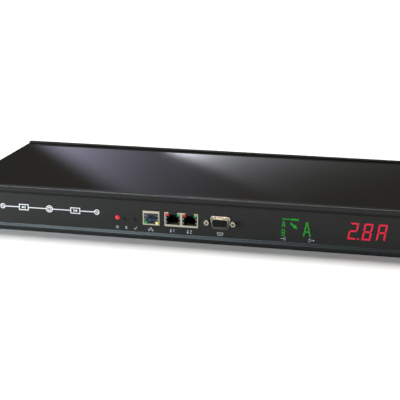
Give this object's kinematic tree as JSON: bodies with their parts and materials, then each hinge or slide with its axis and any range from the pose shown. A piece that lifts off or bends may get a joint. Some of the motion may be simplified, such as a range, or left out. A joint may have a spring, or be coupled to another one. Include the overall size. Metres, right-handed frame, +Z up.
{
  "type": "rack static transfer switch",
  "caption": "Flat black rack unit that switches one mains outlet between two mains inlets, with network and sensor sockets, serial port, buttons and a lit readout.",
  "frame": {"origin": "middle of the underside, on the surface that the unit stands on", "axes": "+X to the right seen from the front, +Y from front to back, +Z up"},
  "size_m": [0.4826, 0.199, 0.0436],
  "materials": {
    "rail_black": "satin black anodised",
    "cover_black": "fine satin black powder coat",
    "film_black": "fine matt printed film",
    "screw_black": "black zinc",
    "steel": "zinc plated",
    "jack_metal": "plated sheet",
    "jack_plastic": "moulded",
    "contact_gold": "gold plated",
    "lamp_green": "clear green",
    "lamp_yellow": "clear yellow",
    "lamp_red": "clear red",
    "serial_metal": "nickel plated",
    "button_black": "moulded",
    "display_black": "dark window",
    "segment_red": "lit red",
    "symbol_green": "lit green",
    "board_green": "printed circuit board",
    "chip_black": "moulded",
    "ribbon_grey": "soft flat cable",
    "insulator": "thin sheet",
    "connector_black": "moulded nylon",
    "blade_nickel": "nickel plated",
    "module_black": "moulded",
    "sink_aluminium": "extruded",
    "relay_blue": "moulded",
    "choke_copper": "enamelled copper winding",
    "capacitor_yellow": "moulded",
    "varistor_blue": "dipped",
    "fuse_white": "ceramic",
    "transformer_black": "potted",
    "can_black": "sleeved can",
    "wire_brown": "insulated wire"
  },
  "bodies": {
    "root": {"front_profile": "rail_black", "rear_profile": "rail_black", "front_film": "film_black", "base_tray": "cover_black", "top_cover": "cover_black", "left_rack_ear": "cover_black", "right_rack_ear": "cover_black", "countersunk_screws": "screw_black", "pan_head_screws": "screw_black", "rack_ear_screws": "screw_black", "lan_jack_shield": "jack_metal", "lan_jack_body": "jack_plastic", "lan_jack_contacts": "contact_gold", "lan_green_light": "lamp_green", "lan_yellow_light": "lamp_yellow", "sensor_jack_shield": "jack_metal", "sensor_jack_body": "jack_plastic", "sensor_jack_contacts": "contact_gold", "sensor_red_lights": "lamp_red", "sensor_green_lights": "lamp_green", "serial_port_shell": "serial_metal", "serial_port_insert": "jack_plastic", "serial_port_contacts": "contact_gold", "serial_jackscrews": "serial_metal", "status_light": "lamp_red", "status_light_leads": "steel", "button_switches": "chip_black", "display_segments": "segment_red", "display_module": "display_black", "flow_lights": "symbol_green", "flow_display": "display_black", "display_board": "board_green", "control_board": "board_green", "control_chips": "chip_black", "board_pillars": "steel", "ribbon_cable": "ribbon_grey", "power_board": "board_green", "insulating_sheet": "insulator", "inlet_a_body": "connector_black", "inlet_b_body": "connector_black", "inlet_blades": "blade_nickel", "outlet_body": "connector_black", "outlet_contacts": "blade_nickel", "connector_screws": "steel", "thyristor_modules": "module_black", "heat_sink": "sink_aluminium", "bypass_relays": "relay_blue", "filter_chokes": "choke_copper", "filter_capacitors": "capacitor_yellow", "varistors": "varistor_blue", "power_fuses": "fuse_white", "supply_transformers": "transformer_black", "bulk_capacitors": "can_black", "current_sensor": "chip_black", "mains_leads": "wire_brown"},
    "select_button": {"select_button": "button_black", "select_plunger": "button_black"},
    "ok_button": {"ok_button": "button_black", "ok_plunger": "button_black"}
  },
  "joints": [
    {"name": "select_press", "type": "slide", "parent": "root", "child": "select_button", "axis": [0, 1, 0], "range_m": [0, 0.0005], "stiffness_N_per_m": 400},
    {"name": "ok_press", "type": "slide", "parent": "root", "child": "ok_button", "axis": [0, 1, 0], "range_m": [0, 0.0005], "stiffness_N_per_m": 400}
  ]
}
